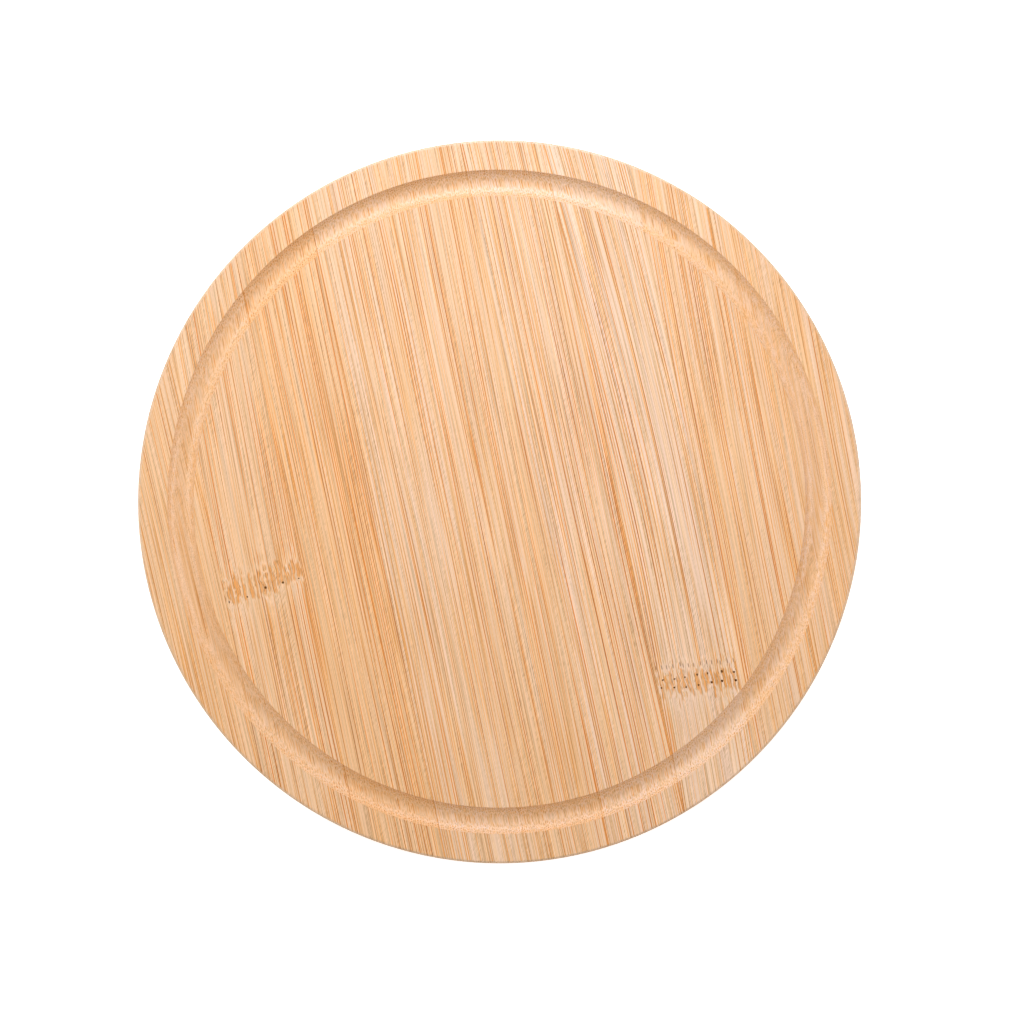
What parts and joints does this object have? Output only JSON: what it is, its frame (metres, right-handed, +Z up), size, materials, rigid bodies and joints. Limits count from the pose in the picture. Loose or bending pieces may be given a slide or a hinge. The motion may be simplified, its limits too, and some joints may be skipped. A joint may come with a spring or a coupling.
{
  "type": "chakla rolling board",
  "caption": "Flat round board of laminated bamboo strips for rolling dough and cutting, with a coved ring groove inside its rim and a plain flat underside.",
  "frame": {"origin": "middle of the flat underside, which rests on the worktop", "axes": "+Z up, out of the working face, and the board's axis of rotation; +Y along the grain of the face ply; +X across the strips of the face ply"},
  "size_m": [0.2, 0.2, 0.015],
  "materials": {
    "pale_bamboo": "pale flat-grain bamboo, sanded and lightly oiled, satin",
    "honey_bamboo": "honey-coloured flat-grain bamboo, sanded and lightly oiled, satin",
    "amber_bamboo": "amber-streaked flat-grain bamboo, sanded and lightly oiled, satin"
  },
  "bodies": {
    "root": {"face_left_strip_4": "honey_bamboo", "face_left_strip_3": "honey_bamboo", "face_left_strip_2": "amber_bamboo", "face_left_strip_1": "pale_bamboo", "face_middle_strip": "honey_bamboo", "face_right_strip_1": "pale_bamboo", "face_right_strip_2": "pale_bamboo", "face_right_strip_3": "amber_bamboo", "face_right_strip_4": "honey_bamboo", "core_near_strip_4": "amber_bamboo", "core_near_strip_3": "honey_bamboo", "core_near_strip_2": "amber_bamboo", "core_near_strip_1": "honey_bamboo", "core_middle_strip": "honey_bamboo", "core_far_strip_1": "amber_bamboo", "core_far_strip_2": "honey_bamboo", "core_far_strip_3": "amber_bamboo", "core_far_strip_4": "honey_bamboo", "back_left_strip_4": "honey_bamboo", "back_left_strip_3": "pale_bamboo", "back_left_strip_2": "amber_bamboo", "back_left_strip_1": "honey_bamboo", "back_middle_strip": "pale_bamboo", "back_right_strip_1": "honey_bamboo", "back_right_strip_2": "amber_bamboo", "back_right_strip_3": "pale_bamboo", "back_right_strip_4": "honey_bamboo"}
  },
  "joints": []
}
